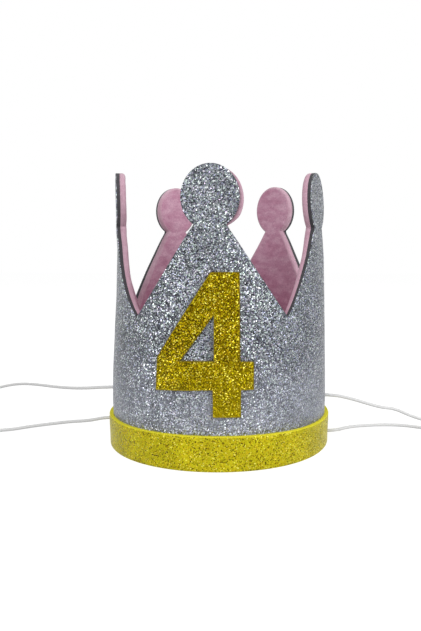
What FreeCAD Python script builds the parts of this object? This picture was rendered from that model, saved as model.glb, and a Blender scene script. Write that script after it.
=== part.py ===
import FreeCAD, Part
import math
import os
from FreeCAD import Vector

# Party crown of glitter foam with a felt lining, standing on its foot.
# Millimetres and degrees. The foot is at z = 0 and the crown's axis is the Z axis.
# The front point faces -Y. Angles run round the ring from the front, positive towards +X.

# Thickness of each sheet, and of the elastic cord
wall_foam = 1.8
band_foam = 1.8
digit_foam = 1.8
felt = 2.6
elastic = 1.5

# Ring: its outside radius at the foot and how much smaller that is at the tips
foot_radius = 50.0
lean = 3.6
tip_height = 122.2

# Five points with a finial each; the front point is the widest
front_half_angle = 39.6
side_points = 4
valley_height = 61.2
neck_width = 12.8
finial_width = 23.6
finial_height = 26.0

# Felt lining: its edge lies inside the foam's edge, and its front finial has slipped
felt_margin = 0.4
felt_lift = 0.5
felt_slip_across = 1.6
felt_slip_down = 0.8

# Gold band round the foot
band_height = 14.4
band_rounding = 0.5

# Digit on the front, measured along the sheet from the middle of the front point
digit_foot = 22.1
digit_height = 57.7
stem_left = 1.6
stem_width = 10.9
bar_foot = 32.8
bar_thickness = 11.7
bar_left_end = -22.3
bar_left_rise = 0.8
bar_stub = 5.5
slope_top = 0.4
window_height = 18.2
window_width = 13.6

# Elastic: its holes and knots, and the coil of what lies beyond each strand
hole_clearance = 0.25
knot_radius = 2.1
left_hole_angle = -86.0
right_upper_hole_angle = 93.0
right_lower_hole_angle = 91.0
left_upper_hole_height = 23.4
left_lower_hole_height = 8.6
right_upper_hole_height = 20.4
right_lower_hole_height = 3.2
strand_lead = 4.5
cord_rest_height = 0.8
coil_radius = 8.25
coil_strands = 2
coil_slack = 0.1
left_coil_centre = Vector(-152.0, 22.0, 0)
right_coil_centre = Vector(122.0, 22.0, 0)

# Points that each strand passes after its hole, out to its coil
left_upper_way = [
    Vector(-68.5, 4.0, 21.8),
    Vector(-87.0, 21.5, 18.4),
    Vector(-104.5, 37.5, 15.4),
    Vector(-121.0, 51.0, 12.2),
    Vector(-135.5, 58.5, 8.4),
    Vector(-146.5, 58.5, 5.0),
    Vector(-156.0, 53.0, 2.6),
    Vector(-161.5, 43.5, 1.2),
    Vector(-162.5, 32.5, 0.8),
]
left_lower_way = [
    Vector(-63.0, -2.5, 6.6),
    Vector(-73.5, -1.0, 5.0),
    Vector(-84.0, -0.5, 3.4),
    Vector(-94.0, -1.0, 2.0),
    Vector(-103.0, -4.2, 1.0),
    Vector(-112.5, -6.0, 0.8),
    Vector(-122.5, -3.5, 0.8),
    Vector(-132.0, 4.0, 0.8),
    Vector(-141.0, 11.0, 0.8),
]
right_upper_way = [
    Vector(62.5, 8.5, 17.2),
    Vector(72.5, 15.5, 14.0),
    Vector(80.0, 20.5, 11.0),
    Vector(88.0, 24.5, 8.0),
    Vector(95.5, 27.0, 5.0),
    Vector(103.0, 28.2, 2.4),
    Vector(112.0, 29.6, 1.0),
]
right_lower_way = [
    Vector(63.0, 11.4, 2.4),
    Vector(72.5, 20.5, 1.6),
    Vector(81.5, 25.0, 1.0),
    Vector(90.5, 25.6, 0.8),
    Vector(99.5, 23.0, 0.8),
    Vector(110.5, 15.8, 0.8),
]

# Half a side point, from what the front point leaves of the ring
side_half_angle = (180.0 - front_half_angle) / side_points
# A finial is an oval, and its neck is where that oval has narrowed to the neck's width
finial_middle = tip_height - finial_height / 2
neck_height = finial_middle - finial_height / 2 * math.sqrt(1 - (neck_width / finial_width) ** 2)
# How far a point's top runs up into its finial
neck_lap = finial_height / 16
# How far a cutting block reaches past the ring, and where the ring that is cut ends above the tips
past_ring = foot_radius / 5
sheet_top = tip_height + past_ring
# A block above a flank: half its length along the flank, and half its depth through the sheet
block_half_length = tip_height / 2
block_half_depth = foot_radius / 2
# Share of the shorter run beside a corner that the corner's arc takes up
arc_share = 0.45


def radius_at(z):
    """Outside radius of the foam wall at a height."""
    return foot_radius - lean * z / tip_height


def outward(angle):
    """Level unit vector pointing away from the axis."""
    a = math.radians(angle)
    return Vector(math.sin(a), -math.cos(a), 0)


def on_ring(angle, z, out=0.0):
    """Point on the wall's outside, or out millimetres outside it."""
    return outward(angle) * (radius_at(z) + out) + Vector(0, 0, z)


def ring_shell(outer, inner, bottom, top):
    """Tapered ring between two offsets from the wall's outside."""
    foot = Vector(0, 0, bottom)
    low = radius_at(bottom)
    high = radius_at(top)
    whole = Part.makeCone(low + outer, high + outer, top - bottom, foot)
    inside = Part.makeCone(low + inner, high + inner, top - bottom, foot)
    return whole.cut(inside)


def point_centres():
    """Angle of the middle of each point, and its half width in degrees."""
    points = [(0.0, front_half_angle)]
    for n in range(side_points):
        points.append((front_half_angle + (2 * n + 1) * side_half_angle, side_half_angle))
    return points


def above_flank(centre, half_angle, side, margin):
    """Block above one sloping side of a point, square to the sheet there."""
    neck_angle = math.degrees(neck_width / 2 / radius_at(neck_height))
    valley = on_ring(centre + side * half_angle, valley_height)
    neck = on_ring(centre + side * neck_angle, neck_height)
    out = outward(centre + side * (half_angle + neck_angle) / 2)
    run = (neck - valley).normalize()
    up = out.cross(run).normalize()
    if up.z < 0:
        up = -up
    middle = (valley + neck) * 0.5 - up * margin
    along = run * block_half_length
    across = out * block_half_depth
    corners = [
        middle - along - across,
        middle + along - across,
        middle + along + across,
        middle - along + across,
    ]
    return Part.Face(Part.makePolygon(corners + corners[:1])).extrude(up * tip_height)


def finial(centre, margin, across=0.0, down=0.0):
    """Oval block through the ring at the top of a point."""
    half_width = finial_width / 2 - margin
    half_height = finial_height / 2 - margin
    tips = [Vector(half_width, 0, 0), Vector(0, 0, half_height)]
    tips.sort(key=lambda tip: tip.Length, reverse=True)
    rim = Part.Wire(Part.Ellipse(tips[0], tips[1], Vector()).toShape())
    oval = Part.Face(rim).extrude(Vector(0, -foot_radius / 2 - past_ring, 0))
    oval.translate(Vector(across, -foot_radius / 2, finial_middle - down))
    oval.rotate(Vector(0, 0, 0), Vector(0, 0, 1), centre)
    return oval


def crown_outline(margin, across=0.0, down=0.0):
    """Block with the outline of the crown, cut in by the margin, to take a sheet from."""
    outline = Part.makeCylinder(foot_radius + past_ring / 2, neck_height + neck_lap)
    points = point_centres()
    for (left, left_half), (right, right_half) in zip(points, points[1:] + points[:1]):
        valley = above_flank(left, left_half, 1, margin).common(above_flank(right, right_half, -1, margin))
        outline = outline.cut(valley)
    slips = [(across, down)] + [(0.0, 0.0)] * side_points
    for (centre, _), (along, lower) in zip(points, slips):
        outline = outline.fuse(finial(centre, margin, along, lower))
    return outline


def make_wall():
    """Foam wall with five points, in one piece."""
    sheet = ring_shell(0.0, -wall_foam, 0.0, sheet_top)
    return sheet.common(crown_outline(0.0))


def make_lining():
    """Felt lining of the same outline, against the inside of the foam."""
    sheet = ring_shell(-wall_foam, -wall_foam - felt, felt_lift, sheet_top)
    return sheet.common(crown_outline(felt_margin, felt_slip_across, felt_slip_down))


def make_band():
    """Band round the foot with its outer edges rounded."""
    band = ring_shell(band_foam, 0.0, 0.0, band_height)
    rims = []
    for edge in band.Edges:
        on_rim = edge.Closed and edge.BoundBox.XMax > radius_at(edge.BoundBox.ZMax) + band_foam / 2
        if on_rim:
            rims.append(edge)
    return band.makeFillet(band_rounding, rims)


def digit_point(along, z):
    """Corner of the digit, seen square from the front."""
    return Vector(foot_radius * math.sin(along / foot_radius), 0, z)


def make_digit():
    """The number four, cut from foam sheet and bent to the wall."""
    top = digit_foot + digit_height
    stem_right = stem_left + stem_width
    bar_top = bar_foot + bar_thickness
    corners = [
        digit_point(slope_top, top),
        digit_point(stem_right, top),
        digit_point(stem_right, bar_top),
        digit_point(stem_right + bar_stub, bar_top),
        digit_point(stem_right + bar_stub, bar_foot),
        digit_point(stem_right, bar_foot),
        digit_point(stem_right, digit_foot),
        digit_point(stem_left, digit_foot),
        digit_point(stem_left, bar_foot),
        digit_point(bar_left_end, bar_foot),
        digit_point(bar_left_end, bar_top + bar_left_rise),
    ]
    window = [
        digit_point(stem_left, bar_top + window_height),
        digit_point(stem_left, bar_top),
        digit_point(stem_left - window_width, bar_top),
    ]
    front = Vector(0, -foot_radius - past_ring, 0)
    figure = Part.Face(Part.makePolygon(corners + corners[:1])).extrude(front)
    opening = Part.Face(Part.makePolygon(window + window[:1])).extrude(front)
    return ring_shell(digit_foam, 0.0, 0.0, tip_height).common(figure.cut(opening))


def knot_place(angle, z):
    """Middle of a knot, against the inside of the felt."""
    return on_ring(angle, z, -wall_foam - felt - knot_radius)


def make_hole(angle, z):
    """Round hole square through the sheets, from the knot to outside the band."""
    length = knot_radius + felt + wall_foam + band_foam + strand_lead
    return Part.makeCylinder(elastic / 2 + hole_clearance, length, knot_place(angle, z), outward(angle))


def rounded_path(points, name):
    """Straight runs joined by tangent arcs, each as large as its two runs allow."""
    edges = []
    radii = []
    start = points[0]
    for before, corner, after in zip(points, points[1:], points[2:]):
        into = corner - before
        away = after - corner
        half_turn = into.getAngle(away) / 2
        trim = arc_share * min(into.Length, away.Length)
        radii.append(trim / math.tan(half_turn))
        arc_start = corner - into.normalize() * trim
        arc_end = corner + away.normalize() * trim
        inner = (arc_start + arc_end) * 0.5 - corner
        sagitta = radii[-1] * (1 / math.cos(half_turn) - 1)
        arc_middle = corner + inner.normalize() * sagitta
        edges.append(Part.LineSegment(start, arc_start).toShape())
        edges.append(Part.Arc(arc_start, arc_middle, arc_end).toShape())
        start = arc_end
    edges.append(Part.LineSegment(start, points[-1]).toShape())
    path = Part.Wire(edges)
    print(name, "length", round(path.Length, 1), "radii", [round(r, 1) for r in radii])
    return path


def make_strand(name, angle, z, way, coil_touch, knot, coil):
    """Elastic from its knot through its hole and along its way to the coil."""
    points = [knot_place(angle, z), on_ring(angle, z, strand_lead)] + way + [coil_touch]
    path = rounded_path(points, name)
    along = points[1] - points[0]
    section = Part.Wire(Part.makeCircle(elastic / 2, points[0], along))
    tube = path.makePipeShell([section], True, True)
    expected = math.pi * (elastic / 2) ** 2 * path.Length
    print(name, "volume over section times length", round(tube.Volume / expected, 4))
    return tube.cut(knot).cut(coil)


def make_coil(centre):
    """Ring of the outer shape of the coiled elastic, lying on the table."""
    half_width = coil_strands * elastic / 2 + coil_slack
    height = coil_strands * elastic + coil_slack
    outer = Part.makeCylinder(coil_radius + half_width, height, centre)
    inner = Part.makeCylinder(coil_radius - half_width, height, centre)
    return outer.cut(inner)


def coil_side(centre, direction):
    """Point on the coil's middle line where a strand runs into it, on the table."""
    return centre + direction * coil_radius + Vector(0, 0, cord_rest_height)


strands = {
    "left_upper": (left_hole_angle, left_upper_hole_height, left_upper_way, Vector(-1, 0, 0)),
    "left_lower": (left_hole_angle, left_lower_hole_height, left_lower_way, Vector(0, -1, 0)),
    "right_upper": (right_upper_hole_angle, right_upper_hole_height, right_upper_way, Vector(0, 1, 0)),
    "right_lower": (right_lower_hole_angle, right_lower_hole_height, right_lower_way, Vector(0, -1, 0)),
}
coils = {
    "left": (left_coil_centre, make_coil(left_coil_centre)),
    "right": (right_coil_centre, make_coil(right_coil_centre)),
}

nodes = {
    "crown_wall": make_wall(),
    "felt_lining": make_lining(),
    "base_band": make_band(),
    "number_four": make_digit(),
}
for name, (angle, z, way, direction) in strands.items():
    centre, coil = coils[name.split("_")[0]]
    knot = Part.makeSphere(knot_radius, knot_place(angle, z))
    hole = make_hole(angle, z)
    for sheet in ("crown_wall", "felt_lining", "base_band"):
        nodes[sheet] = nodes[sheet].cut(hole)
    touch = coil_side(centre, direction)
    nodes[name + "_elastic"] = make_strand(name, angle, z, way, touch, knot, coil)
    nodes[name + "_knot"] = knot
for side, (centre, coil) in coils.items():
    nodes[side + "_elastic_coil"] = coil

os.makedirs("parts", exist_ok=True)
for name, shape in nodes.items():
    box = shape.BoundBox
    print(name, shape.isValid(), "solids", len(shape.Solids), "volume", round(shape.Volume, 1),
          "z", round(box.ZMin, 2), round(box.ZMax, 2))
    shape.exportStep("parts/" + name + ".step")
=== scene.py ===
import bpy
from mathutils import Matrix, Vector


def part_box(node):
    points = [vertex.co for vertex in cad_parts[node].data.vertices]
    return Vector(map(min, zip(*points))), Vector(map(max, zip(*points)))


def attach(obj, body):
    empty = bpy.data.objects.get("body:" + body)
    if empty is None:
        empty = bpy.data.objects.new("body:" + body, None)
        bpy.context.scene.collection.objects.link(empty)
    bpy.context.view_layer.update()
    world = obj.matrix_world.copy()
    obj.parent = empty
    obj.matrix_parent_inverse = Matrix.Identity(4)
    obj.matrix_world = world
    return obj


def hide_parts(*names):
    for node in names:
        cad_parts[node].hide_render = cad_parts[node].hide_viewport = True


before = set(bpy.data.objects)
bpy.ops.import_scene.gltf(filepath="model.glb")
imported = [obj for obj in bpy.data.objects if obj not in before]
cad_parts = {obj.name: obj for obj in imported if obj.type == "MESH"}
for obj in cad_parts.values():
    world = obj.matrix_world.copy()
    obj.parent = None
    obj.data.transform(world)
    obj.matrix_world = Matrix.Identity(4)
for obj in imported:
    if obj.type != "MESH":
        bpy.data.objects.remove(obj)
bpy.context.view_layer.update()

import math
from collections import namedtuple

import bmesh
import bpy
from mathutils import Vector, noise

# Party crown of glitter foam with a felt lining. Lengths are in millimetres and angles in degrees.
# A mesh or a curve is turned to metres when it takes its place in the frame.
MM = 0.001

# Ring, from the frame: its outside radius at the foot and the height of its tips
foot_radius = (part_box("crown_wall")[1].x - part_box("crown_wall")[0].x) / 2 / MM
tip_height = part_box("crown_wall")[1].z / MM
band_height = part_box("base_band")[1].z / MM
lean = 3.6

# Sheet and cord stock
wall_foam = 1.8
band_foam = 1.8
digit_foam = 1.8
felt = 2.6
elastic = 1.5

# How round each sheet's cut edge is, and the angle from which a sheet shows a crease; felt shows none
foam_edge = 0.35
band_edge = 0.5
digit_edge = 0.25
felt_edge = 1.4
foam_crease = 35
felt_crease = 180

# Five points with a finial each
front_half_angle = 39.6
side_half_angle = (180.0 - front_half_angle) / 4
side_angle = front_half_angle + side_half_angle
back_angle = side_angle + 2 * side_half_angle
valley_height = 62.0
neck_width = 12.8
finial_width = 23.6
finial_height = 26.0
finial_middle = tip_height - finial_height / 2
neck_height = finial_middle - finial_height / 2 * math.sqrt(1 - (neck_width / finial_width) ** 2)

# The points were cut and bent by hand, so no two are quite the same. middle is a point's angle, and
# width and height are its finial's. rise lifts the finial, hollows draw in the point's left and right
# flank, flat_from is the height where the ring's curve begins to leave it, turn twists it round its
# own upright, and stand says how far it stands out of the even ring at each height.
Point = namedtuple("Point", "middle width height neck rise hollows flat_from turn stand")
flat_to = neck_height + 4
flat_late = neck_height - 12
flattest = 0.97
straight = (0.0, 0.0)
upright = [(0, 0.0), (tip_height, 0.0)]
left_back_point = Point(
    middle=-back_angle + 0.4, width=21.5, height=24.5, neck=10.8, rise=0.2, hollows=straight,
    flat_from=flat_late, turn=0.0, stand=upright,
)
left_side_point = Point(
    middle=-side_angle, width=finial_width, height=finial_height, neck=neck_width, rise=0.9,
    hollows=(0.0, 2.3), flat_from=valley_height - 1.0, turn=-0.7,
    stand=[(0, -0.6), (14, 0.1), (22, 0.6), (34, 0.8), (52, 0.5), (70, 0.0), (88, -0.1), (100, 0.6),
           (tip_height, 1.3)],
)
front_point = Point(
    middle=0.0, width=23.4, height=finial_height, neck=13.0, rise=-0.1, hollows=(0.6, 0.4),
    flat_from=flat_late, turn=0.0, stand=upright,
)
right_side_point = Point(
    middle=side_angle, width=23.2, height=finial_height, neck=neck_width, rise=0.0,
    hollows=(0.3, 0.0), flat_from=flat_late, turn=-2.7,
    stand=[(0, -0.3), (14, 0.4), (22, 0.8), (34, 0.9), (66, 0.9), (84, 0.6), (96, -0.5),
           (tip_height, -0.8)],
)
right_back_point = Point(
    middle=back_angle - 0.8, width=21.5, height=24.5, neck=10.8, rise=0.2, hollows=straight,
    flat_from=flat_late, turn=0.0, stand=upright,
)
points = [left_back_point, left_side_point, front_point, right_side_point, right_back_point]

# Angle and height of the valley after each point but the last
valleys = [
    (-front_half_angle - 2 * side_half_angle, valley_height),
    (-front_half_angle - 2.0, valley_height - 1.7),
    (front_half_angle + 0.5, valley_height - 0.8),
    (front_half_angle + 2 * side_half_angle, valley_height),
]

# The foot is a little oval, its longer way from the left front to the right back, and bulges a
# little halfway between front, sides and back
foot_oval = 0.75
foot_bulge = 0.5
foot_evens_out_at = 60.0

# The band was glued on a little lower at the sides
band_low_at_sides = 0.6

# Felt lining, cut along with the foam: how far its front finial has slipped, and between which
# heights the slip builds up
felt_slip_across = 1.6
felt_slip_down = 0.8
felt_slip_from = neck_height - 3
felt_slip_to = neck_height + 5

# Corners of the digit as cut, measured along the sheet from the middle of the front point
digit_corners = [
    (0.4, 79.8),
    (12.2, 79.8),
    (12.4, 44.4),
    (18.0, 44.3),
    (17.9, 33.0),
    (12.7, 33.0),
    (12.7, 22.1),
    (1.5, 22.1),
    (1.4, 33.1),
    (-22.4, 31.9),
    (-22.2, 45.3),
]
digit_window = [
    (1.8, 62.7),
    (1.8, 44.7),
    (-11.9, 44.4),
]
digit_corner_round = 0.45

# Elastic: holes, knots and the coils of what lies out of view. cord_floor is the height of its middle
# where it lies on the table.
left_hole_angle = -86.0
right_upper_hole_angle = 93.0
right_lower_hole_angle = 91.0
left_upper_hole_height = 23.4
left_lower_hole_height = 8.6
right_upper_hole_height = 20.4
right_lower_hole_height = 3.2
knot_radius = 2.1
knot_points = 18
strand_lead = 4.5
cord_floor = 0.8
coil_radius = 8.25
coil_points = 16
left_coil_centre = (-152.0, 22.0)
right_coil_centre = (122.0, 22.0)

# Points that each strand passes after its hole, out to its coil
left_upper_way = [
    Vector((-68.5, 4.0, 20.6)),
    Vector((-87.0, 21.5, 17.0)),
    Vector((-104.5, 37.5, 14.8)),
    Vector((-121.0, 51.0, 12.2)),
    Vector((-135.5, 58.5, 8.4)),
    Vector((-146.5, 58.5, 5.0)),
    Vector((-156.0, 53.0, 2.6)),
    Vector((-161.5, 43.5, 1.2)),
    Vector((-162.5, 32.5, 0.8)),
]
left_lower_way = [
    Vector((-63.0, -2.5, 6.2)),
    Vector((-73.5, -1.0, 5.0)),
    Vector((-84.0, -0.5, 3.4)),
    Vector((-94.0, -1.0, 2.0)),
    Vector((-103.0, -4.2, 1.0)),
    Vector((-112.5, -6.0, 0.8)),
    Vector((-122.5, -3.5, 0.8)),
    Vector((-132.0, 4.0, 0.8)),
    Vector((-141.0, 11.0, 0.8)),
]
right_upper_way = [
    Vector((62.5, 8.5, 17.6)),
    Vector((72.5, 15.5, 13.4)),
    Vector((80.0, 20.5, 10.4)),
    Vector((88.0, 24.5, 8.8)),
    Vector((95.5, 27.0, 5.0)),
    Vector((103.0, 28.2, 2.4)),
    Vector((112.0, 29.6, 1.0)),
]
right_lower_way = [
    Vector((63.0, 11.2, 2.6)),
    Vector((72.5, 18.2, 1.6)),
    Vector((81.5, 22.4, 1.0)),
    Vector((90.5, 23.2, 0.8)),
    Vector((99.5, 20.0, 0.8)),
    Vector((110.5, 13.2, 0.8)),
]

# How finely a flat sheet is sliced before it is bent, and the steps of a rounded edge, round a finial,
# along a flank and round the band
foam_slice = 2.0
felt_slice = 1.3
foam_round_steps = 3
felt_round_steps = 5
finial_steps = 44
flank_steps = 8
band_steps = 36

# The felt's face is a little uneven, over a few millimetres
felt_lumps = 0.22
felt_lump_size = 5.0

# Grain of each finish. Towards the foot the glitter is painted lighter and more even, a painted light
# bounced up from the table, and it is a little uneven in patches; towards its foot the felt is painted
# deeper in colour, a painted shade.
silver_flake = 0.4
gold_flake = 0.38
glitter_patch = 12.0
glitter_bounce_full_below = 15.0
glitter_bounce_gone_above = 50.0
foam_cell_drawn = 0.4
felt_fibre_drawn = 1.2
felt_mottle = 7.0
felt_painted_shade_below = 55.0
felt_painted_shade_gone_above = 80.0
yarn_drawn = 0.5

# Camera, in front of the crown and a little to its right, looking slightly down
camera_azimuth = 4.5584
camera_distance = 285.97
camera_height = 85.56
camera_turn = 0.8218
camera_pitch = 5.5
photo_focal_pixels = 605.85
photo_height = 631


def smooth_step(low, high, value):
    """0 below low, 1 above high, and a smooth rise between them."""
    t = min(1.0, max(0.0, (value - low) / (high - low)))
    return t * t * (3 - 2 * t)


def outward(angle):
    """Level unit vector away from the axis."""
    a = math.radians(angle)
    return Vector((math.sin(a), -math.cos(a), 0))


def sideways(angle):
    """Level unit vector along the ring, to the right of outward seen from outside."""
    a = math.radians(angle)
    return Vector((math.cos(a), math.sin(a), 0))


def even_radius(z):
    """Outside radius of the even ring at a height."""
    return foot_radius - lean * z / tip_height


def on_ring(angle, z, out=0.0):
    """Place on the even ring's outside, or out millimetres outside it."""
    return outward(angle) * (even_radius(z) + out) + Vector((0, 0, z))


def stand_of(point, z):
    """How far a point stands out of the even ring at a height."""
    for (low, out_low), (high, out_high) in zip(point.stand, point.stand[1:]):
        if z <= high:
            return out_low + (out_high - out_low) * smooth_step(low, high, z)
    return point.stand[-1][1]


def ring_radius(angle, z):
    """Outside radius of the foam wall, with the unevenness of its points and its oval foot."""
    before, after = points[-1], points[0]
    start, end = before.middle - 360, after.middle
    for one, other in zip(points, points[1:]):
        if angle >= one.middle:
            before, after, start, end = one, other, one.middle, other.middle
    if angle >= points[-1].middle:
        before, after, start, end = points[-1], points[0], points[-1].middle, points[0].middle + 360
    share = smooth_step(start, end, angle)
    stand = stand_of(before, z) * (1 - share) + stand_of(after, z) * share
    lobe = math.sin(2 * math.radians(angle))
    foot = (foot_bulge * lobe ** 2 - foot_oval * lobe) * (1 - smooth_step(0, foot_evens_out_at, z))
    return even_radius(z) + stand + foot


def point_at(angle):
    """The point of the crown that an angle belongs to."""
    for point, (valley_angle, _) in zip(points, valleys):
        if angle < valley_angle:
            return point
    return points[-1]


def bend(flat):
    """Place in the crown, in metres, of a place on the flat sheet.

    On the flat sheet x runs round the ring at the foot's radius, z is height and -y is outwards.
    The wall follows the ring, and each finial is nearly flat, as it stands free of its neighbours.
    """
    angle = math.degrees(flat.x / foot_radius)
    point = point_at(angle)
    flatness = smooth_step(point.flat_from, flat_to, flat.z)
    bow = 1.0 - flattest * flatness
    bent = math.radians(angle - point.middle) * bow
    middle_radius = ring_radius(point.middle, flat.z)
    radius = ring_radius(angle, flat.z) * (1 - flatness) + middle_radius * flatness
    out = -flat.y
    across = (radius / bow + out) * math.sin(bent)
    away = radius - middle_radius - radius / bow * (1 - math.cos(bent)) + out * math.cos(bent)
    twisted = point.middle + point.turn * smooth_step(valley_height, neck_height, flat.z)
    place = outward(point.middle) * middle_radius + sideways(twisted) * across + outward(twisted) * away
    place.z = flat.z
    return place * MM


def linear(colour):
    """Linear colour of an sRGB hex value."""
    channels = [int(colour[i:i + 2], 16) / 255 for i in (1, 3, 5)]
    return [c / 12.92 if c <= 0.04045 else ((c + 0.055) / 1.055) ** 2.4 for c in channels] + [1.0]


def new_material(name):
    """Empty node material, and the tree to fill."""
    material = bpy.data.materials.new(name)
    material.use_nodes = True
    material.node_tree.nodes.clear()
    return material, material.node_tree


def add_node(tree, kind, inputs=(), stops=(), **settings):
    """Node with its settings, its colour stops, and its inputs as values or links."""
    node = tree.nodes.new(kind)
    for name, value in settings.items():
        setattr(node, name, value)
    for name, value in dict(inputs).items():
        if isinstance(value, bpy.types.NodeSocket):
            tree.links.new(value, node.inputs[name])
        else:
            node.inputs[name].default_value = value
    for n, (place, colour) in enumerate(stops):
        if n == len(node.color_ramp.elements):
            node.color_ramp.elements.new(place)
        node.color_ramp.elements[n].position = place
        node.color_ramp.elements[n].color = linear(colour)
    return node


def glitter_foam(name, flake_tones_and_glints, tints, foot_bounce_colour, foot_bounce_share, flake, tilt, metal):
    """Foam sheet faced with glitter: flat foil flakes glued down at every tilt.

    Each flake is one grain with its own shade and a faint tint of its own, and flashes where it turns
    towards a lamp; its shade, from near black to white, is partly its own tone, partly a painted glint at
    the bright end and a painted shade at the dark end. Flakes of such glitter measure 0.2 to 0.5 mm.
    Towards the foot they are blended towards one lighter, even shade, a painted light bounced up from the
    table.
    """
    material, tree = new_material(name)
    place = add_node(tree, "ShaderNodeTexCoord").outputs["Object"]
    flakes = add_node(tree, "ShaderNodeTexVoronoi", {"Vector": place, "Scale": 1 / (flake * MM)})
    grain = add_node(tree, "ShaderNodeSeparateColor", {"Color": flakes.outputs["Color"]})
    # Partly painted light: each flake's tone runs from near black to white, partly its own and partly a
    # painted glint at the bright end and painted shade at the dark end
    shade = add_node(tree, "ShaderNodeValToRGB", {"Fac": grain.outputs["Red"]}, flake_tones_and_glints)
    tint = add_node(tree, "ShaderNodeValToRGB", {"Fac": grain.outputs["Green"]}, tints)
    tinted = add_node(
        tree, "ShaderNodeMix", {0: 1.0, 6: shade.outputs["Color"], 7: tint.outputs["Color"]},
        data_type="RGBA", blend_type="MULTIPLY",
    )
    height = add_node(tree, "ShaderNodeSeparateXYZ", {"Vector": place})
    # Painted light: towards the foot each flake is blended towards one lighter, even colour, for light
    # bounced up from the table
    low = add_node(
        tree, "ShaderNodeMapRange",
        {"Value": height.outputs["Z"], "From Min": glitter_bounce_full_below * MM,
         "From Max": glitter_bounce_gone_above * MM, "To Min": foot_bounce_share, "To Max": 0.0},
    )
    foot_bounce_lit = add_node(
        tree, "ShaderNodeMix", {0: low.outputs["Result"], 6: tinted.outputs[2], 7: linear(foot_bounce_colour)},
        data_type="RGBA",
    )
    patches = add_node(
        tree, "ShaderNodeTexNoise", {"Vector": place, "Scale": 1 / (glitter_patch * MM), "Detail": 3.0},
    )
    cloud = add_node(
        tree, "ShaderNodeValToRGB", {"Fac": patches.outputs["Fac"]}, [(0.35, "#e6e6e6"), (0.65, "#ffffff")],
    )
    clouded = add_node(
        tree, "ShaderNodeMix", {0: 1.0, 6: foot_bounce_lit.outputs[2], 7: cloud.outputs["Color"]},
        data_type="RGBA", blend_type="MULTIPLY",
    )
    centred = add_node(
        tree, "ShaderNodeVectorMath", {0: flakes.outputs["Color"], 1: (0.5, 0.5, 0.5)}, operation="SUBTRACT",
    )
    leaning = add_node(
        tree, "ShaderNodeVectorMath", {0: centred.outputs[0], "Scale": tilt}, operation="SCALE",
    )
    face = add_node(tree, "ShaderNodeNewGeometry").outputs["Normal"]
    tilted = add_node(tree, "ShaderNodeVectorMath", {0: face, 1: leaning.outputs[0]}, operation="ADD")
    facing = add_node(tree, "ShaderNodeVectorMath", {0: tilted.outputs[0]}, operation="NORMALIZE")
    shader = add_node(
        tree, "ShaderNodeBsdfPrincipled",
        {"Base Color": clouded.outputs[2], "Metallic": metal, "Roughness": 0.4,
         "Specular IOR Level": 0.1, "Normal": facing.outputs[0]},
    )
    add_node(tree, "ShaderNodeOutputMaterial", {"Surface": shader.outputs[0]})
    return material


def foam_core(name, dark, light):
    """Cut edge of closed-cell foam: matt, with cells of about 0.15 mm, drawn coarser so they show."""
    material, tree = new_material(name)
    place = add_node(tree, "ShaderNodeTexCoord").outputs["Object"]
    cells = add_node(
        tree, "ShaderNodeTexNoise", {"Vector": place, "Scale": 1 / (foam_cell_drawn * MM), "Detail": 4.0},
    )
    colour = add_node(
        tree, "ShaderNodeValToRGB", {"Fac": cells.outputs["Fac"]}, [(0.3, dark), (0.7, light)],
    )
    bump = add_node(tree, "ShaderNodeBump", {"Height": cells.outputs["Fac"], "Distance": 0.1 * MM})
    shader = add_node(
        tree, "ShaderNodeBsdfPrincipled",
        {"Base Color": colour.outputs["Color"], "Roughness": 0.85, "Normal": bump.outputs["Normal"]},
    )
    add_node(tree, "ShaderNodeOutputMaterial", {"Surface": shader.outputs[0]})
    return material


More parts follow.
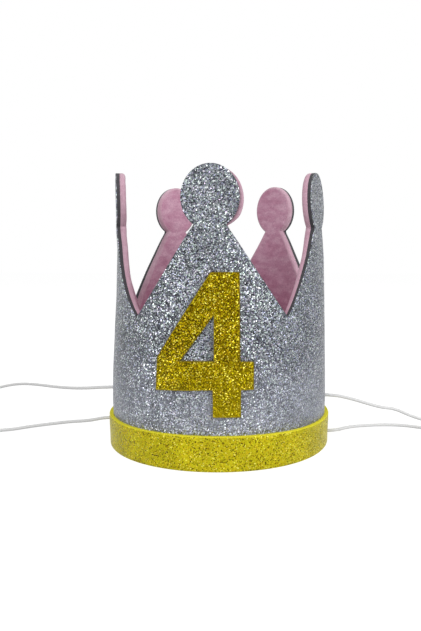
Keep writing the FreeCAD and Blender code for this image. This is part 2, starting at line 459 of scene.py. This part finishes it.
def needled_felt():
    """Pink needled felt: a matt mat of fibres, mottled where it is denser, greyer at its rim, partly from
    fraying and partly a painted highlight.

    The deeper it lies in the crown, the more of its own colour it is lit with, so it looks stronger; this
    is painted in as a darker, deeper colour towards its foot, a painted shade.
    Its fibres lie in every direction and are about 0.03 mm thick. They are drawn as tufts of them, far
    coarser, so that they show.
    """
    material, tree = new_material("pink_needled_felt")
    place = add_node(tree, "ShaderNodeTexCoord").outputs["Object"]
    fibres = add_node(
        tree, "ShaderNodeTexNoise",
        {"Vector": place, "Scale": 1 / (felt_fibre_drawn * MM), "Detail": 6.0, "Roughness": 0.75,
         "Distortion": 1.5},
    )
    layered = add_node(tree, "ShaderNodeMapping", {"Vector": place, "Scale": (1.0, 1.0, 2.2)})
    mottles = add_node(
        tree, "ShaderNodeTexNoise",
        {"Vector": layered.outputs[0], "Scale": 1 / (felt_mottle * MM), "Detail": 4.0,
         "Roughness": 0.65},
    )
    body = add_node(
        tree, "ShaderNodeValToRGB", {"Fac": mottles.outputs["Fac"]},
        [(0.3, "#c08ba2"), (0.46, "#ca9ab0"), (0.56, "#d2a8bb"), (0.7, "#dcb6c7")],
    )
    strand = add_node(
        tree, "ShaderNodeValToRGB", {"Fac": fibres.outputs["Fac"]},
        [(0.32, "#cfc1ca"), (0.5, "#ece5e9"), (0.66, "#ffffff")],
    )
    matted = add_node(
        tree, "ShaderNodeMix", {0: 0.9, 6: body.outputs["Color"], 7: strand.outputs["Color"]},
        data_type="RGBA", blend_type="MULTIPLY",
    )
    # Painted shade: towards its foot the felt is multiplied darker and pinker, for the shade and pink light
    # between its walls deep in the crown
    height = add_node(tree, "ShaderNodeSeparateXYZ", {"Vector": place})
    level = add_node(
        tree, "ShaderNodeMapRange",
        {"Value": height.outputs["Z"], "From Min": felt_painted_shade_below * MM,
         "From Max": felt_painted_shade_gone_above * MM},
    )
    depth = add_node(
        tree, "ShaderNodeValToRGB", {"Fac": level.outputs["Result"]},
        [(0.0, "#f6dee8"), (1.0, "#ffffff")],
    )
    felt_painted_deep_shade = add_node(
        tree, "ShaderNodeMix", {0: 1.0, 6: matted.outputs[2], 7: depth.outputs["Color"]},
        data_type="RGBA", blend_type="MULTIPLY",
    )
    rim = add_node(tree, "ShaderNodeAttribute", attribute_name="frayed_and_highlit")
    patchy = add_node(
        tree, "ShaderNodeMath", {0: rim.outputs["Fac"], 1: fibres.outputs["Fac"]}, operation="MULTIPLY",
    )
    # Partly painted highlight: the rim is blended towards a paler grey pink, partly loose fibres and partly
    # fuzz catching light
    frayed_and_highlit = add_node(
        tree, "ShaderNodeMix", {0: patchy.outputs[0], 6: felt_painted_deep_shade.outputs[2], 7: linear("#bfa3ad")},
        data_type="RGBA",
    )
    bump = add_node(
        tree, "ShaderNodeBump", {"Height": fibres.outputs["Fac"], "Distance": 0.3 * MM, "Strength": 0.9},
    )
    shader = add_node(
        tree, "ShaderNodeBsdfPrincipled",
        {"Base Color": frayed_and_highlit.outputs[2], "Roughness": 0.95, "Sheen Weight": 0.25, "Sheen Roughness": 0.5,
         "Specular IOR Level": 0.2, "Normal": bump.outputs["Normal"]},
    )
    add_node(tree, "ShaderNodeOutputMaterial", {"Surface": shader.outputs[0]})
    return material


def covered_elastic():
    """White elastic: fine polyester yarns wound close round rubber, so it looks smooth and satin.

    Its yarns are about 0.1 mm thick, drawn coarser so that they show.
    """
    material, tree = new_material("white_covered_elastic")
    place = add_node(tree, "ShaderNodeTexCoord").outputs["Object"]
    yarns = add_node(
        tree, "ShaderNodeTexNoise", {"Vector": place, "Scale": 1 / (yarn_drawn * MM), "Detail": 2.0},
    )
    # Partly painted shade: the white elastic is drawn light grey all over, darker than its own white; the
    # yarn variation is its own
    colour = add_node(
        tree, "ShaderNodeValToRGB", {"Fac": yarns.outputs["Fac"]}, [(0.3, "#cccccc"), (0.7, "#d8d8d8")],
    )
    bump = add_node(tree, "ShaderNodeBump", {"Height": yarns.outputs["Fac"], "Distance": 0.04 * MM})
    shader = add_node(
        tree, "ShaderNodeBsdfPrincipled",
        {"Base Color": colour.outputs["Color"], "Roughness": 0.7, "Normal": bump.outputs["Normal"]},
    )
    add_node(tree, "ShaderNodeOutputMaterial", {"Surface": shader.outputs[0]})
    return material


def finial_arc(point):
    """Rim of a finial on the flat sheet, from its neck's right corner over the top to its left."""
    start = -math.acos(point.neck / point.width)
    sweep = math.pi - 2 * start
    rim = []
    for n in range(finial_steps + 1):
        a = start + sweep * n / finial_steps
        z = finial_middle + point.rise + point.height / 2 * math.sin(a)
        across = point.width / 2 * math.cos(a)
        spread = foot_radius / ring_radius(point.middle, z)
        rim.append((math.radians(point.middle) * foot_radius + across * spread, z))
    return rim


def flank(low, high, hollow):
    """Places between a valley and a neck, drawn in from the straight line, most near the valley."""
    low, high = Vector(low), Vector(high)
    along = (high - low).normalized()
    inward = Vector((along.y, -along.x)) * math.copysign(1, high.x - low.x)
    places = []
    for n in range(1, flank_steps):
        t = n / flank_steps
        bow = 4 * t * (1 - t) * (2 - 2 * t) * hollow
        places.append(tuple(low.lerp(high, t) + inward * bow))
    return places


def crown_outline():
    """Corners of the flat strip with its five points, anticlockwise seen from outside."""
    end = math.pi * foot_radius
    lows = [(math.radians(angle) * foot_radius, z) for angle, z in valleys]
    lows = [(-end, valley_height)] + lows + [(end, valley_height)]
    outline = [(-end, 0.0), (end, 0.0), (end, valley_height)]
    for n in reversed(range(len(points))):
        point = points[n]
        rim = finial_arc(point)
        outline += flank(lows[n + 1], rim[0], point.hollows[1])
        outline += rim
        outline += flank(lows[n], rim[-1], point.hollows[0])[::-1]
        outline.append(lows[n])
    return outline


def band_outline():
    """Corners of the flat strip for the foot."""
    end = math.pi * foot_radius
    outline = [(-end, 0.0), (end, 0.0)]
    for n in range(band_steps + 1):
        a = math.radians(180 - 360 * n / band_steps)
        outline.append((a * foot_radius, band_height - band_low_at_sides * math.sin(a) ** 2))
    return outline


def cut_flat(outline, y):
    """Face with an outline of x and z, looking outwards, in a new mesh."""
    bm = bmesh.new()
    face = bm.faces.new([bm.verts.new((x, y, z)) for x, z in outline])
    bm.normal_update()
    return bm, face


def give_thickness(bm, face, thickness, edge_round, steps):
    """Makes a flat face a slab, rounds its other side, and returns the face inside the rounding."""
    through = face.normal * (thickness - edge_round)
    slab = bmesh.ops.extrude_face_region(bm, geom=[face], use_keep_orig=True)
    front = next(g for g in slab["geom"] if isinstance(g, bmesh.types.BMFace))
    bmesh.ops.translate(bm, vec=through, verts=front.verts)
    bm.normal_update()
    if front.normal.dot(through) < 0:
        front.normal_flip()
    inset, depth = 0.0, 0.0
    for n in range(1, steps + 1):
        a = math.pi / 2 * n / steps
        next_inset, next_depth = edge_round * (1 - math.cos(a)), edge_round * math.sin(a)
        bmesh.ops.inset_region(
            bm, faces=[front], thickness=next_inset - inset, depth=next_depth - depth,
            use_even_offset=True, use_boundary=True,
        )
        inset, depth = next_inset, next_depth
    return front


def slice_sheet(bm, width):
    """Cuts a flat sheet into narrow strips both ways, so that it bends smoothly."""
    low = [min(v.co[axis] for v in bm.verts) for axis in (0, 2)]
    high = [max(v.co[axis] for v in bm.verts) for axis in (0, 2)]
    for axis, start, end in ((0, low[0], high[0]), (2, low[1], high[1])):
        count = round((end - start) / width)
        for n in range(1, count):
            place, normal = Vector(), Vector()
            place[axis] = start + (end - start) * n / count
            normal[axis] = 1
            geometry = bm.verts[:] + bm.edges[:] + bm.faces[:]
            bmesh.ops.bisect_plane(bm, geom=geometry, dist=0.0001, plane_co=place, plane_no=normal)


def finish_piece(bm, name, materials, node, sharp):
    """Bends a mesh to the crown and makes it the piece that stands for a CAD node.

    sharp is the least angle between faces that shows as a crease.
    """
    for v in bm.verts:
        v.co = bend(v.co)
    bmesh.ops.triangulate(bm, faces=[f for f in bm.faces if len(f.verts) > 4])
    bmesh.ops.recalc_face_normals(bm, faces=bm.faces)
    mesh = bpy.data.meshes.new(name)
    bm.to_mesh(mesh)
    bm.free()
    mesh.polygons.foreach_set("use_smooth", [True] * len(mesh.polygons))
    mesh.set_sharp_from_angle(angle=math.radians(sharp))
    for material in materials:
        mesh.materials.append(material)
    piece = bpy.data.objects.new(name, mesh)
    bpy.context.collection.objects.link(piece)
    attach(piece, "root")
    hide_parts(node)


def make_foam_sheet(name, outline, outer, thickness, edge_round, over_edge, materials, node):
    """Glitter foam piece, cut flat and bent to the ring.

    over_edge is how far its glitter reaches over the rounded edge.
    """
    bm, back = cut_flat(outline, thickness - outer)
    give_thickness(bm, back, thickness, edge_round, foam_round_steps)
    for side in bm.faces:
        covered = side.calc_center_median().y < over_edge - outer
        side.material_index = 0 if covered else 1
    slice_sheet(bm, foam_slice)
    finish_piece(bm, name, materials, node, foam_crease)


def make_lining():
    """Felt lining: its face uneven, its rim round and marked for its fraying and painted highlight, and its
    front finial slipped.
    """
    bm, outside = cut_flat(crown_outline(), wall_foam)
    outside.normal_flip()
    inside = give_thickness(bm, outside, felt, felt_edge, felt_round_steps)
    # Rim mark: fraying fibres and a painted highlight where the fuzz catches light
    rim_fray_and_highlight = bm.verts.layers.float.new("frayed_and_highlit")
    for v in bm.verts:
        v[rim_fray_and_highlight] = 1.0
    for v in inside.verts:
        v[rim_fray_and_highlight] = 0.0
    slice_sheet(bm, felt_slice)
    for v in bm.verts:
        if v[rim_fray_and_highlight] < 0.5:
            v.co.y += felt_lumps * noise.noise(v.co / felt_lump_size)
        if abs(v.co.x) < finial_width:
            slip = smooth_step(felt_slip_from, felt_slip_to, v.co.z)
            v.co.x += felt_slip_across * slip
            v.co.z -= felt_slip_down * slip
    finish_piece(bm, "felt_lining_sheet", [felt_material], "felt_lining", felt_crease)


def make_digit():
    """The number four, cut from gold foam with its window, and glued to the front point."""
    bm, back = cut_flat(digit_corners, 0.0)
    bmesh.ops.bevel(
        bm, geom=back.verts[:], offset=digit_corner_round, segments=3, profile=0.5, material=-1,
        affect="VERTICES",
    )
    cut_window(bm)
    faces = bm.faces[:]
    slab = bmesh.ops.extrude_face_region(bm, geom=faces, use_keep_orig=True)
    fronts = [g for g in slab["geom"] if isinstance(g, bmesh.types.BMFace)]
    corners = {v for f in fronts for v in f.verts}
    bmesh.ops.translate(bm, vec=(0, digit_edge - digit_foam, 0), verts=list(corners))
    for f in faces:
        f.normal_flip()
    bm.normal_update()
    # Two steps round the front edge, the first one steep and the second one shallow
    for inset, depth in ((0.3, 0.7), (0.7, 0.3)):
        bmesh.ops.inset_region(
            bm, faces=fronts, thickness=digit_edge * inset, depth=digit_edge * depth,
            use_even_offset=True, use_boundary=True,
        )
    for f in bm.faces:
        f.material_index = 1
    for f in fronts:
        f.material_index = 0
    slice_sheet(bm, foam_slice)
    finish_piece(
        bm, "gold_digit_four", [gold_glitter, gold_core_and_shade], "number_four", foam_crease,
    )


def cut_window(bm):
    """Cuts the digit's three-cornered window out of its flat face."""
    sides = list(zip(digit_window, digit_window[1:] + digit_window[:1]))
    for (x0, z0), (x1, z1) in sides:
        across = Vector((z1 - z0, 0, x0 - x1)).normalized()
        geometry = bm.verts[:] + bm.edges[:] + bm.faces[:]
        bmesh.ops.bisect_plane(bm, geom=geometry, dist=0.0001, plane_co=(x0, 0, z0), plane_no=across)

    def in_window(place):
        turns = [(x1 - x0) * (place.z - z0) - (z1 - z0) * (place.x - x0) for (x0, z0), (x1, z1) in sides]
        return all(t > 0 for t in turns) or all(t < 0 for t in turns)

    waste = [f for f in bm.faces if in_window(f.calc_center_median())]
    bmesh.ops.delete(bm, geom=waste, context="FACES")


def lane_at(lanes, done):
    """Radius and height of a coiled cord after some turns, from the lanes that it changes between."""
    for (turn0, radius0, z0), (turn1, radius1, z1) in zip(lanes, lanes[1:]):
        if done <= turn1:
            share = smooth_step(turn0, turn1, done)
            return radius0 + (radius1 - radius0) * share, z0 + (z1 - z0) * share
    return lanes[-1][1:]


def coil_turns(centre, start, turns, lanes):
    """Points of a coil on the table from a starting angle, anticlockwise where turns is positive."""
    count = round(abs(turns) * coil_points)
    places = []
    for n in range(count + 1):
        done = abs(turns) * n / count
        a = math.radians(start + math.copysign(360 * done, turns))
        radius, z = lane_at(lanes, done)
        places.append(Vector((centre[0] + radius * math.cos(a), centre[1] + radius * math.sin(a), z)))
    return places


def make_strand(name, places, nodes, closed=False):
    """Elastic along one smooth line, as the piece that stands for CAD nodes."""
    curve = bpy.data.curves.new(name, "CURVE")
    curve.dimensions = "3D"
    curve.bevel_depth = elastic / 2 * MM
    curve.bevel_resolution = 4
    curve.resolution_u = 8
    curve.use_fill_caps = not closed
    spline = curve.splines.new("NURBS")
    spline.points.add(len(places) - 1)
    for point, place in zip(spline.points, places):
        point.co = (*(place * MM), 1)
    spline.order_u = 3
    spline.use_endpoint_u = not closed
    spline.use_cyclic_u = closed
    curve.materials.append(elastic_material)
    strand = bpy.data.objects.new(name, curve)
    bpy.context.collection.objects.link(strand)
    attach(strand, "root")
    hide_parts(*nodes)
    return strand


def knot_place(angle, z):
    """Middle of a knot, against the inside of the felt."""
    return on_ring(angle, z, -wall_foam - felt - knot_radius)


def make_knot(side, angle, z):
    """Overhand knot pulled tight against the felt: the cord laid as a trefoil."""
    size = (knot_radius - elastic / 2) / 3
    places = []
    for n in range(knot_points):
        a = 2 * math.pi * n / knot_points
        across = (math.sin(a) + 2 * math.sin(2 * a)) * size
        up = (math.cos(a) - 2 * math.cos(2 * a)) * size
        depth = -math.sin(3 * a) * elastic * 0.4
        places.append(
            knot_place(angle, z) + sideways(angle) * across + Vector((0, 0, up)) + outward(angle) * depth
        )
    return make_strand(side + "_overhand_knot", places, [side + "_knot"], closed=True)


def make_elastic(side, upper, upper_way, lower, lower_way, turns):
    """One side's elastic, knotted inside the crown at both ends, with its spare length coiled."""
    knots = [make_knot(side + "_upper", *upper), make_knot(side + "_lower", *lower)]
    route = [knot_place(*upper), on_ring(*upper, strand_lead)] + upper_way + turns
    route += lower_way[::-1] + [on_ring(*lower, strand_lead), knot_place(*lower)]
    nodes = [side + "_upper_elastic", side + "_lower_elastic", side + "_elastic_coil"]
    cord = make_strand(side + "_elastic_cord", route, nodes)


def seen_rays(tree, light):
    """1 for what the camera sees directly, in a reflection or through something, else 0."""
    direct = add_node(
        tree, "ShaderNodeMath",
        {0: light.outputs["Is Camera Ray"], 1: light.outputs["Is Glossy Ray"]}, operation="MAXIMUM",
    )
    every = add_node(
        tree, "ShaderNodeMath",
        {0: direct.outputs[0], 1: light.outputs["Is Transmission Ray"]}, operation="MAXIMUM",
    )
    return every.outputs[0]


def make_floor():
    """Pale floor that the crown stands on, white to the camera, with the crown's shadow on it."""
    material, tree = new_material("white_paper_floor")
    light = add_node(tree, "ShaderNodeLightPath")
    paper = add_node(tree, "ShaderNodeBsdfDiffuse", {"Color": linear("#cfcfcf")})
    shaded = add_node(tree, "ShaderNodeBsdfDiffuse", {"Color": linear("#8c8c8c")})
    glow = add_node(tree, "ShaderNodeEmission", {"Color": linear("#ffffff"), "Strength": 0.86})
    bright = add_node(tree, "ShaderNodeAddShader", {0: shaded.outputs[0], 1: glow.outputs[0]})
    seen = seen_rays(tree, light)
    mixed = add_node(
        tree, "ShaderNodeMixShader", {0: seen, 1: paper.outputs[0], 2: bright.outputs[0]},
    )
    add_node(tree, "ShaderNodeOutputMaterial", {"Surface": mixed.outputs[0]})
    bm = bmesh.new()
    bmesh.ops.create_grid(bm, x_segments=2, y_segments=2, size=3.0)
    mesh = bpy.data.meshes.new("floor")
    bm.to_mesh(mesh)
    bm.free()
    mesh.materials.append(material)
    floor = bpy.data.objects.new("floor", mesh)
    bpy.context.collection.objects.link(floor)


def make_surroundings(strength):
    """Plain white surroundings, at a strength for what they light."""
    world = bpy.data.worlds.new("white_surroundings")
    world.use_nodes = True
    bpy.context.scene.world = world
    tree = world.node_tree
    tree.nodes.clear()
    light = add_node(tree, "ShaderNodeLightPath")
    level = add_node(
        tree, "ShaderNodeMapRange", {"Value": seen_rays(tree, light), "To Min": strength, "To Max": 1.0},
    )
    sky = add_node(
        tree, "ShaderNodeBackground", {"Color": linear("#ffffff"), "Strength": level.outputs["Result"]},
    )
    add_node(tree, "ShaderNodeOutputWorld", {"Surface": sky.outputs[0]})


def make_lamp(name, place, size, power):
    """Square soft lamp at a place in metres, turned to the crown."""
    data = bpy.data.lights.new(name, "AREA")
    data.size = size
    data.energy = power
    lamp = bpy.data.objects.new(name, data)
    bpy.context.collection.objects.link(lamp)
    lamp.location = place
    lamp.rotation_mode = "QUATERNION"
    lamp.rotation_quaternion = (Vector((0, 0, 0.06)) - Vector(place)).to_track_quat("-Z", "Y")


def make_camera():
    """Camera at the photograph's place and angle."""
    data = bpy.data.cameras.new("camera")
    data.sensor_width = 36
    data.lens = photo_focal_pixels * data.sensor_width / photo_height
    camera = bpy.data.objects.new("camera", data)
    bpy.context.collection.objects.link(camera)
    bpy.context.scene.camera = camera
    place = outward(camera_azimuth) * camera_distance
    place.z = camera_height
    camera.location = place * MM
    ahead = -outward(camera_azimuth + camera_turn) * math.cos(math.radians(camera_pitch))
    ahead.z = -math.sin(math.radians(camera_pitch))
    camera.rotation_mode = "QUATERNION"
    camera.rotation_quaternion = ahead.to_track_quat("-Z", "Y")


make_camera()

# Silver glitter is bare metallised film: grey, with faint tints and hard flashes; its brightest flakes are
# partly painted glints
silver_glitter = glitter_foam(
    "silver_glitter_foil",
    [(0.0, "#2c2d31"), (0.4, "#65676c"), (0.75, "#8e9095"), (0.9, "#cbcdd2"), (1.0, "#ffffff")],
    [(0.0, "#d6daff"), (0.3, "#ffffff"), (0.6, "#def4e6"), (0.8, "#ffffff"), (1.0, "#ecd8f4")],
    # Lighter colour and its share at the foot: painted light bounced up from the table
    "#a6a9b4", 0.4, silver_flake, 0.9, 0.85,
)
# The digit's gold glitter lies dense and looks deep gold; its darkest flakes are partly painted shade and
# its brightest partly painted glints
gold_glitter = glitter_foam(
    "gold_glitter_foil",
    [(0.0, "#2f2400"), (0.35, "#625200"), (0.7, "#8f7d00"), (0.9, "#c4b212"), (1.0, "#fff278")],
    [(0.0, "#ffe2b4"), (0.3, "#ffffff"), (0.6, "#f4ffd0"), (0.8, "#ffffff"), (1.0, "#ffe9a8")],
    # Lighter colour and its share at the foot: painted light bounced up from the table
    "#b0a008", 0.4, gold_flake, 0.9, 0.8,
)
# The band's glitter is strewn thinly, so the yellow of its foam shows between the flakes; its brightest
# flakes are partly painted glints
band_glitter = glitter_foam(
    "gold_glitter_foil_band",
    [(0.0, "#403800"), (0.12, "#7c7200"), (0.24, "#b9ae14"), (0.92, "#cec41c"), (1.0, "#fff47c")],
    [(0.0, "#ffe6a0"), (0.3, "#ffffff"), (0.6, "#f6ffc8"), (0.8, "#ffffff"), (1.0, "#ffeea0")],
    "#b6ac10", 0.0, gold_flake, 0.5, 0.25,
)
# Cut edges: the wall's foam is dark grey, the band's yellow, and the digit's a duller, darker gold, partly
# painted shade of its cut edge
grey_core = foam_core("dark_grey_eva_foam", "#2c2a2e", "#444246")
yellow_core = foam_core("yellow_eva_foam", "#ccc210", "#e0d822")
# Partly painted shade: the digit's cut edge is coloured dark olive
gold_core_and_shade = foam_core("gold_eva_foam", "#6d600a", "#8a7a0c")
felt_material = needled_felt()
elastic_material = covered_elastic()

# Cords, with the turns of their coils, come before the sheets that they leave
upper_layer = cord_floor + elastic
outer_lane = coil_radius + elastic / 2
inner_lane = coil_radius - elastic / 2
left_turns = coil_turns(
    left_coil_centre, 180, 1.25,
    [(0.0, coil_radius, cord_floor), (0.55, coil_radius, cord_floor), (0.95, coil_radius, upper_layer)],
)
right_turns = coil_turns(
    right_coil_centre, 90, -3.5,
    [
        (0.0, outer_lane, cord_floor),
        (0.7, outer_lane, cord_floor),
        (1.0, inner_lane, cord_floor),
        (1.7, inner_lane, cord_floor),
        (2.0, inner_lane, upper_layer),
        (2.7, inner_lane, upper_layer),
        (3.0, outer_lane, upper_layer),
    ],
)
make_elastic(
    "left", (left_hole_angle, left_upper_hole_height), left_upper_way,
    (left_hole_angle, left_lower_hole_height), left_lower_way, left_turns,
)
make_elastic(
    "right", (right_upper_hole_angle, right_upper_hole_height), right_upper_way,
    (right_lower_hole_angle, right_lower_hole_height), right_lower_way, right_turns,
)

# Sheets
make_foam_sheet(
    "silver_wall", crown_outline(), 0.0, wall_foam, foam_edge, foam_edge, [silver_glitter, grey_core],
    "crown_wall",
)
make_lining()
make_foam_sheet(
    "gold_foot_band", band_outline(), band_foam, band_foam, band_edge, band_edge / 4,
    [band_glitter, yellow_core], "base_band",
)
make_digit()

# Surroundings
make_floor()
make_surroundings(0.5)
make_lamp("front_lamp", (-0.25, -0.9, 0.55), 0.5, 5.0)
make_lamp("right_lamp", (0.8, -0.35, 0.4), 0.5, 3.8)
make_lamp("top_lamp", (0.0, 0.1, 0.9), 0.6, 1.5)
bpy.context.scene.view_settings.view_transform = "Standard"
